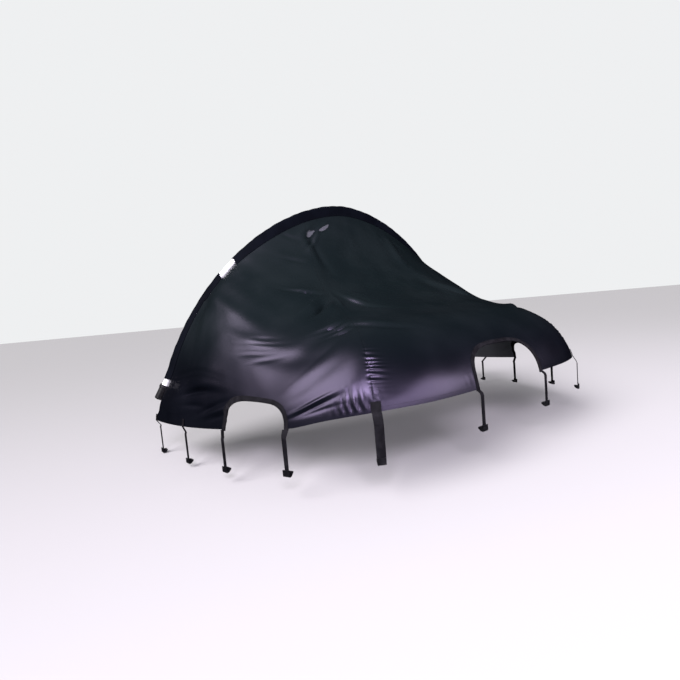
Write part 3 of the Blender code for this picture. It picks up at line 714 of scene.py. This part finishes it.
def along_at_degrees(degrees):
    """The rib that meets the hoop at this angle."""
    ribs = np.linspace(0, REAR, 600)
    return np.interp(degrees, smooth(RIBS, ribs, 1), ribs)


sleeves = {}
degrees = np.linspace(-TOP_SLEEVE_END_DEGREES, TOP_SLEEVE_END_DEGREES, TOP_STATIONS)
along = np.copysign(along_at_degrees(np.abs(degrees)), degrees)
sleeves["sleeve_top"] = make_sleeve(
    "sleeve_top", (along, np.ones_like(along)), (along, share_of_seam(along)), degrees, -1, 0.02
)
for side, name in ((1, "sleeve_right"), (-1, "sleeve_left")):
    arch_start = float(along_at_degrees(SIDE_SLEEVE_START_DEGREES))
    arch_along = side * np.linspace(arch_start, REAR - SEAM_WIDTH, ARCH_STATIONS)
    leg_share = np.linspace(LEG_TOP_SHARE, LEG_LOW_SHARE, LEG_STATIONS)
    leg_share = leg_share[taut(side * REAR, leg_share)[:, 2] > SIDE_SLEEVE_END]
    edge_along = side * (REAR + smooth(REAR_EDGE, leg_share, 1))
    edge = (np.append(arch_along, edge_along), np.append(np.ones(ARCH_STATIONS), leg_share))
    seam_share = np.append(share_of_seam(arch_along), np.minimum(leg_share, LEG_SEAM_TOP_SHARE))
    seam = (np.append(arch_along, np.full(len(leg_share), side * (REAR - SEAM_WIDTH))), seam_share)
    leg_degrees = hoop_degrees(side, taut(*edge)[ARCH_STATIONS:, 2])
    arch_degrees = side * smooth(RIBS, np.abs(arch_along), 1)
    degrees = np.append(arch_degrees, leg_degrees)
    sleeves[name] = make_sleeve(name, edge, seam, degrees, side, 0.05 * side)
print("sleeves:", {name: len(piece.data.polygons) for name, piece in sleeves.items()})

# %% [markdown]
# ## Binding tape
# The cut edge of each notch is bound with a folded tape. It is swept round the arch as a thin U
# whose fold is rounded, and it follows the same cloth, so the folds pass under it without a gap.
# Its ends run a little below the hem and meet the straps there.

# %% Bind the notches
TAPE_WIDTH = 0.011
TAPE_WALL = 0.0011
TAPE_FIT = 0.0003
TAPE_TAIL = 0.0040
TAPE_CUT = 0.024
TAPE_STATIONS, TAPE_STEP = 120, 0.004
TAPE_STITCHED_AT = TAPE_WIDTH - 0.0025
SEWN_EDGE, SEWN_LINE = 0.80, 0.85


def make_binding(notch):
    """The tape round one notch, and the line for the thread along its inner edge."""
    t = np.linspace(0, 1, TAPE_STATIONS)
    along, height = notch_outline(notch, t)
    height = np.clip(height, 0, None)
    height[[0, -1]] = -TAPE_TAIL
    ahead = np.stack(notch_outline(notch, np.minimum(t + TAPE_STEP, 1)))
    behind = np.stack(notch_outline(notch, np.maximum(t - TAPE_STEP, 0)))
    run = (ahead - behind) / np.linalg.norm(ahead - behind, axis=0)
    into = np.stack([-run[1], run[0]])

    def laid(inset, lift):
        place = along + into[0] * inset
        up = np.maximum(height + into[1] * inset, -TAPE_TAIL)
        return cloth(place, up / rib_length(place), lift)

    def at(inset, lift):
        return laid(inset, lift)[0]

    over, under = TAPE_FIT, -PANEL_THICKNESS - TAPE_FIT
    thread_lines["thread_bindings"].append(laid(TAPE_STITCHED_AT, over + TAPE_WALL * SEWN_LINE))
    middle = (over + under) / 2
    half = (over - under) / 2
    section = [at(TAPE_WIDTH, over + TAPE_WALL * SEWN_EDGE)]
    for angle in np.radians((90, 60, 30, 0, -30, -60, -90)):
        reach = half + TAPE_WALL
        section.append(at(-TAPE_FIT - TAPE_WALL * math.cos(angle), middle + reach * math.sin(angle)))
    section += [at(TAPE_WIDTH, under - TAPE_WALL * SEWN_EDGE), at(TAPE_WIDTH, under)]
    section += [at(-TAPE_FIT, under), at(-TAPE_FIT, over), at(TAPE_WIDTH, over)]
    sections = np.stack(section, axis=1)
    walked = np.concatenate([[0], np.cumsum(np.hypot(np.diff(along), np.diff(height)))])
    u = np.repeat(walked[:, None], sections.shape[1], axis=1)
    v = np.repeat(np.linspace(0, TAPE_CUT, sections.shape[1])[None], len(t), axis=0)
    name = f"binding_{notch[0]}"
    faces = tube_faces(*sections.shape[:2])
    piece = make_piece(name, sections, faces, np.stack([u, v], axis=-1), sharp=60)
    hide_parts(name)
    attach(piece, "root")
    return piece


bindings = [make_binding(notch) for notch in NOTCHES]
print("bindings:", [piece.name for piece in bindings])

# %% [markdown]
# ## Thread
# Stitches tell sewn cloth from moulded plastic when it is seen close up. Each is a short thread
# that is thickest in its middle and dips into the cloth at both ends. The corner seams have a row
# on each side, and the hem, the sleeves' laps and the notch tapes have one each.

# %% Sew the seams, the hem, the laps and the tapes
STITCH_PITCH, STITCH_LENGTH, THREAD_RADIUS = 0.0038, 0.0029, 0.00036
STITCH_SECTIONS = (
    # place along the stitch, share of the radius, height in radii
    (-0.5, 0.55, -0.6),
    (0.0, 1.00, 0.5),
    (0.5, 0.55, -0.6),
)
ROUND_THREAD = ((1, 0), (0, 1), (-1, 0), (0, -1))
STITCH_FACES = tube_faces(len(STITCH_SECTIONS), len(ROUND_THREAD))
SEAM_STITCHES_BESIDE, HEM_STITCHES_UP = 0.004, 0.010
SEAM_STITCHES_START, SEAM_STITCHES_END = 0.008, 0.982
SEAM_POINTS, HEM_POINTS = 400, 300


def make_stitches(name, lines):
    """A row of stitches along each line, given as its points and the cloth's normals there."""
    stitches = []
    for path, normal in lines:
        walked = np.concatenate([[0], np.cumsum(np.linalg.norm(np.diff(path, axis=0), axis=1))])
        middles = np.arange(STITCH_PITCH, walked[-1] - STITCH_PITCH, STITCH_PITCH)

        def at(places, grid):
            return np.stack([np.interp(places, walked, grid[:, k]) for k in range(3)], axis=-1)

        run = unit(at(middles + 0.001, path) - at(middles - 0.001, path))
        up = unit(at(middles, normal))
        side = np.cross(run, up)
        corners = []
        for shift, thick, raised in STITCH_SECTIONS:
            centre = at(middles + shift * STITCH_LENGTH, path) + up * (raised * THREAD_RADIUS)
            for x, y in ROUND_THREAD:
                corners.append(centre + (side * x + up * y) * (thick * THREAD_RADIUS))
        stitches.append(np.stack(corners, axis=1))
    points = np.concatenate(stitches)
    count, corners_each = points.shape[:2]
    faces = [tuple(corners_each * i + k for k in face) for i in range(count) for face in STITCH_FACES]
    piece = make_piece(name, points, faces)
    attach(piece, "root")
    return piece


def seam_line(along):
    """From just above the hem to just below the sleeve, at one place along the edge."""
    share = np.linspace(SEAM_STITCHES_START, SEAM_STITCHES_END, SEAM_POINTS)
    return cloth(np.full(SEAM_POINTS, along), share)


def hem_line(start, end):
    along = np.linspace(start, end, HEM_POINTS)
    return cloth(along, HEM_STITCHES_UP / rib_length(along))


clear = TAPE_WIDTH + 0.002
stops = [-REAR]
for notch in (left_notch, bow_notch, right_notch):
    middle, half_width = notch[1:3]
    stops += [middle - half_width - clear, middle + half_width + clear]
stops.append(REAR)
thread_lines["thread_hem"] = [hem_line(*stops[i : i + 2]) for i in range(0, len(stops), 2)]
beside_seam = (-SEAM_STITCHES_BESIDE, SEAM_STITCHES_BESIDE)
seam_rows = [seam + beside for seam in (-SEAM_AT, SEAM_AT) for beside in beside_seam]
thread_lines["thread_seams"] = [seam_line(along) for along in seam_rows]
threads = [make_stitches(name, lines) for name, lines in thread_lines.items()]
print("stitches:", {row.name: len(row.data.polygons) // len(STITCH_FACES) for row in threads})

# %% [markdown]
# ## Shader helper
# A finish is a small formula over the surface. The class below wraps a node's socket, so that a
# formula is typed as one: mask * 0.4 + 0.2 adds the Math nodes by itself. Colours are mixed with
# Mix nodes, because a Math node would turn them grey. A number that is the same all over goes
# straight into the shader's own socket, without a node.


# %% Wrap sockets for shader maths
COLOUR_INPUTS, COLOUR_RESULT = (6, 7), 2
OBJECT_PLACE, SURFACE_NORMAL, HEIGHT, DOT_RESULT = 3, 1, 2, 1


class Value:
    """A socket of a node tree, with arithmetic that adds Math nodes."""

    def __init__(self, tree, socket):
        self.tree, self.socket = tree, socket

    def maths(self, operation, other):
        return self.tree.node("ShaderNodeMath", {"operation": operation}, self, other)

    def __add__(self, other):
        return self.maths("ADD", other)

    def __mul__(self, other):
        return self.maths("MULTIPLY", other)

    __radd__ = __add__
    __rmul__ = __mul__


class Nodes:
    """A node tree that is built up by formulas."""

    def __init__(self, tree):
        self.nodes, self.links = tree.nodes, tree.links

    def node(self, kind, settings=None, *values, output=0, **named):
        """Adds a node: settings first, then what goes into its sockets, by order or by name."""
        made = self.nodes.new(kind)
        for key, setting in (settings or {}).items():
            setattr(made, key, setting)
        for key, value in [*enumerate(values), *((k.replace("_", " "), v) for k, v in named.items())]:
            self.feed(made.inputs[key], value)
        return Value(self, made.outputs[output])

    def feed(self, socket, value):
        if isinstance(value, Value):
            self.links.new(value.socket, socket)
        else:
            socket.default_value = value

    def ramp(self, value, low, high):
        """0 below low, 1 above high, and smooth between."""
        return self.node("ShaderNodeMapRange", {"interpolation_type": "SMOOTHSTEP"}, value, low, high)

    def blend(self, mask, first, second):
        """The first colour where the mask is 0 and the second where it is 1."""
        mix = self.node("ShaderNodeMix", {"data_type": "RGBA"}, mask, output=COLOUR_RESULT)
        for key, colour in zip(COLOUR_INPUTS, (first, second)):
            self.feed(mix.socket.node.inputs[key], colour)
        return mix

    def place(self):
        """Where a point lies on the object, in metres."""
        return self.node("ShaderNodeTexCoord", output=OBJECT_PLACE)

    def cloud(self, scale, detail):
        return self.node("ShaderNodeTexNoise", None, Vector=self.place(), Scale=scale, Detail=detail)

    def weave(self, spacing):
        """A plain weave of this spacing, from the UV map in metres: threads over and under."""
        uv = self.node("ShaderNodeUVMap", {"uv_map": "cloth_metres"})
        turns = self.node("ShaderNodeVectorMath", {"operation": "SCALE"}, uv, Scale=math.pi / spacing)
        across = self.node("ShaderNodeSeparateXYZ", None, turns)
        along = Value(self, across.socket.node.outputs[1])
        sine = {"operation": "SINE"}
        return self.node("ShaderNodeMath", sine, across) * self.node("ShaderNodeMath", sine, along)


class Finish(Nodes):
    """A Principled material. Constants are set as it is made, and formulas are fed afterwards."""

    def __init__(self, name, **constants):
        self.material = bpy.data.materials.new(name)
        self.material.use_nodes = True
        super().__init__(self.material.node_tree)
        self.shader = self.nodes["Principled BSDF"]
        for socket, value in constants.items():
            self.shader.inputs[socket.replace("_", " ")].default_value = value

    def colour(self, value):
        self.feed(self.shader.inputs["Base Color"], value)

    def roughness(self, value):
        self.feed(self.shader.inputs["Roughness"], value)

    def relief(self, height, distance):
        """Fine relief, too small to model: distance is its depth in metres."""
        bump = self.node("ShaderNodeBump", None, Distance=distance, Height=height)
        self.feed(self.shader.inputs["Normal"], bump)


# %% [markdown]
# ## The panels' cloth
# The cloth is a coated nylon: nearly black, with a violet sheen where a lamp glances off the coating.
# Its outer colour carries painted light: lighter and green high up as a painted reflection, and
# darker navy lower down as painted shade. Its uncoated inner face is greyer.
# The two faces are told apart by their normals: an outer one points away from a place beneath the
# cover. The plain weave is far finer than a pixel of the photograph, so it is kept weak, and most
# of the look comes from roughness that drifts over the panels.

# %% Coated nylon
PLACE_BENEATH = (0, -0.40, -0.60)
# Heights between which the painted shade low down turns into the painted reflection high up.
PAINTED_SHADE_BELOW, PAINTED_REFLECTION_ABOVE = 0.20, 0.42

nylon = Finish("satin_nylon", IOR=1.28, Specular_Tint=(0.76, 0.65, 1.0, 1))
patches = nylon.ramp(nylon.cloud(5.0, 4.0), 0.35, 0.65)
grain = nylon.cloud(900.0, 2.0)
place = nylon.place()
height = nylon.node("ShaderNodeSeparateXYZ", None, place, output=HEIGHT)
# Painted light on the outer face: darker navy low down is painted shade, lighter green high up is a
# painted reflection.
navy_painted_shade = nylon.blend(patches, (0.0007, 0.0010, 0.0017, 1), (0.0013, 0.0017, 0.0027, 1))
green_painted_reflection = nylon.blend(patches, (0.0022, 0.0038, 0.0042, 1), (0.0032, 0.0050, 0.0054, 1))
outer_cloth_painted_light = nylon.blend(nylon.ramp(height, PAINTED_SHADE_BELOW, PAINTED_REFLECTION_ABOVE), navy_painted_shade, green_painted_reflection)
inner_cloth = nylon.blend(patches, (0.030, 0.032, 0.036, 1), (0.042, 0.044, 0.050, 1))
away = nylon.node("ShaderNodeVectorMath", {"operation": "SUBTRACT"}, place, PLACE_BENEATH)
facing = nylon.node("ShaderNodeNewGeometry", output=SURFACE_NORMAL)
dot_product = {"operation": "DOT_PRODUCT"}
outer = nylon.node("ShaderNodeVectorMath", dot_product, facing, away, output=DOT_RESULT)
nylon.colour(nylon.blend(nylon.ramp(outer, -0.05, 0.05), inner_cloth, outer_cloth_painted_light))
nylon.roughness(0.27 + patches * 0.03 + grain * 0.04)
nylon.relief(nylon.weave(0.0009) + grain, 0.000010)
print("made", nylon.material.name)

# %% [markdown]
# ## The other finishes
# The sleeves are a duller cloth with a coarser weave, so they get a rougher surface and a faint
# shine. Tape and straps are webbing, whose slanting ribs come from a wave texture. The hooks and
# sockets are moulded plastic, a little rubbed. The pole is bare aluminium, dulled by handling.
# The thread is matte, and its twist shows only as a change of tone.

# %% Sleeve cloth
sleeve_finish = Finish("sleeve_cloth", IOR=1.15, Specular_IOR_Level=0.12)
patches = sleeve_finish.ramp(sleeve_finish.cloud(14.0, 3.0), 0.35, 0.65)
sleeve_tones = (0.0006, 0.0009, 0.0019, 1), (0.0010, 0.0014, 0.0027, 1)
sleeve_finish.colour(sleeve_finish.blend(patches, *sleeve_tones))
sleeve_finish.roughness(0.66 + patches * 0.10)
sleeve_finish.relief(sleeve_finish.weave(0.0016), 0.00004)
print("made", sleeve_finish.material.name)

# %% Webbing
webbing = Finish("webbing", IOR=1.20, Specular_IOR_Level=0.15)
slanting = {"bands_direction": "DIAGONAL"}
ribs = webbing.node("ShaderNodeTexWave", slanting, Scale=420.0, Distortion=0.4)
wear = webbing.ramp(webbing.cloud(60.0, 4.0), 0.40, 0.75)
webbing.colour(webbing.blend(wear, (0.0024, 0.0023, 0.0030, 1), (0.0056, 0.0054, 0.0066, 1)))
webbing.roughness(0.62 + wear * 0.15)
webbing.relief(ribs, 0.00006)
print("made", webbing.material.name)

# %% Moulded plastic
plastic = Finish("moulded_plastic", IOR=1.35, Specular_IOR_Level=0.25)
rubbed = plastic.ramp(plastic.cloud(35.0, 3.0), 0.45, 0.75)
plastic.colour(plastic.blend(rubbed, (0.0022, 0.0022, 0.0028, 1), (0.0050, 0.0050, 0.0060, 1)))
plastic.roughness(0.36 + rubbed * 0.12)
plastic.relief(plastic.cloud(700.0, 2.0), 0.00006)
print("made", plastic.material.name)

# %% Aluminium
aluminium = Finish("aluminium", Metallic=0.4)
dull = aluminium.ramp(aluminium.cloud(60.0, 4.0), 0.35, 0.70)
aluminium.colour(aluminium.blend(dull, (0.62, 0.63, 0.64, 1), (0.78, 0.79, 0.80, 1)))
aluminium.roughness(0.30 + dull * 0.12)
aluminium.relief(aluminium.cloud(500.0, 2.0), 0.00002)
print("made", aluminium.material.name)

# %% Thread
thread_finish = Finish("thread", Roughness=0.7, IOR=1.20, Specular_IOR_Level=0.10)
twist = thread_finish.ramp(thread_finish.cloud(900.0, 2.0), 0.3, 0.7)
thread_tones = (0.0016, 0.0018, 0.0024, 1), (0.0034, 0.0036, 0.0044, 1)
thread_finish.colour(thread_finish.blend(twist, *thread_tones))
print("made", thread_finish.material.name)

# %% Put the finishes on
FINISH_OF_SLOT = {
    "satin_nylon": nylon,
    "sleeve_cloth": sleeve_finish,
    "webbing": webbing,
    "moulded_plastic": plastic,
    "aluminium": aluminium,
}


def dress(piece, finish):
    piece.data.materials.clear()
    piece.data.materials.append(finish.material)


for piece in panels.values():
    dress(piece, nylon)
for piece in sleeves.values():
    dress(piece, sleeve_finish)
for piece in bindings:
    dress(piece, webbing)
for piece in threads:
    dress(piece, thread_finish)
for part in frame["record"]["subparts"]:
    node = nodes[part["node"]]
    if not node.hide_render:
        dress(node, FINISH_OF_SLOT[part["material_slot"]])
shown = [node.name for node in nodes.values() if not node.hide_render]
print("solids that stay and are dressed:", len(shown))

# %% [markdown]
# ## Floor and light
# A plain pale floor lies just below the object. Dark glossy cloth shows its form only through what
# it mirrors, so the lamps are placed where the photograph's bright bands need them: the mirror
# direction was worked out at each band. A very wide soft sun over the left side draws the sheen
# along the ridge and also lights the floor evenly as far as it is seen. A soft box at the left bow
# corner whitens the gathers there, and a low one in front lights the bow's face. The sky is a
# plain pale fill all round. It and the floor are kept out of mirrored light, so that only the
# lamps draw sheen and the rest of the cloth stays dark.

# %% Floor
FLOOR_RADIUS, FLOOR_DROP = 60, 0.002

floor_place = (0, 0, cad_low.z - FLOOR_DROP)
bpy.ops.mesh.primitive_circle_add(
    vertices=96, radius=FLOOR_RADIUS, fill_type="NGON", location=floor_place
)
floor = bpy.context.object
floor.name = "floor"
floor_finish = Finish("pale_floor", Roughness=0.9, Specular_IOR_Level=0.1)
floor_finish.colour((0.20, 0.20, 0.20, 1))
dress(floor, floor_finish)
floor.visible_glossy = False
print("floor at", round(floor_place[2], 4), "m")

# %% Sky
sky_world = bpy.data.worlds.new("sky")
sky_world.use_nodes = True
sky_world.node_tree.nodes["Background"].inputs["Color"].default_value = (0.86, 0.87, 0.88, 1)
bpy.context.scene.world = sky_world
sky_world.cycles_visibility.glossy = False
bpy.context.scene.view_settings.view_transform = "Standard"
print("sky:", sky_world.name)

# %% Lamps
VIOLET = (0.93, 0.84, 1.0)
SOFT_BOX = {"shape": "RECTANGLE", "color": VIOLET}
SUN_DISTANCE, BOX_DISTANCE = 4, 3.4
LIT_PLACE = Vector((-0.2, -0.5, 0.2))


def bearing(azimuth, elevation):
    """A direction from the cover. Azimuth 0 is astern and 90 to starboard."""
    a, e = math.radians(azimuth), math.radians(elevation)
    return Vector((math.sin(a) * math.cos(e), math.cos(a) * math.cos(e), math.sin(e)))


def add_lamp(name, kind, towards, distance, **settings):
    """A lamp that shines on the cover from a direction. Settings are the light's own."""
    data = bpy.data.lights.new(name, kind)
    for key, value in settings.items():
        setattr(data, key, value)
    lamp = bpy.data.objects.new(name, data)
    lamp.location = LIT_PLACE + towards * distance
    lamp.rotation_euler = towards.to_track_quat("Z", "Y").to_euler()
    bpy.context.scene.collection.objects.link(lamp)


sun_angle = math.radians(44)
sun_colour = (1.0, 0.95, 1.0)
over_left, at_corner, in_front = bearing(-92, 45), bearing(-146, 33), bearing(166, 13)
add_lamp("side_sun", "SUN", over_left, SUN_DISTANCE, energy=9.6, angle=sun_angle, color=sun_colour)
add_lamp("corner_box", "AREA", at_corner, BOX_DISTANCE, **SOFT_BOX, energy=225, size=1.3, size_y=0.7)
add_lamp("bow_box", "AREA", in_front, BOX_DISTANCE, **SOFT_BOX, energy=215, size=4.2, size_y=0.9)

# %% [markdown]
# Each panel is listed as a sheet with the width and length that it was cut to. The cut isn't a
# rectangle, so its flat area is read from the panel's own mesh. It is printed beside the width
# times the length, which therefore tests nothing.


def flat_area(piece):
    """Half of the closed sheet's area, which is one face of the cloth."""
    return sum(polygon.area for polygon in piece.data.polygons) / 2


SHEETS = (
    # name, width, length, held, rests on
    ("panel_bow", 0.96, 1.12, "stretched", ["sleeve_top"]),
    ("panel_right", 0.94, 1.08, "stretched", ["sleeve_right"]),
    ("panel_left", 0.94, 1.08, "stretched", ["sleeve_left"]),
)
for name, width, length, held, carriers in SHEETS:
    area = flat_area(panels[name])
    print(name, "area", round(area, 3), "m2 of", round(width * length, 3))
    area = min(area, width * length)
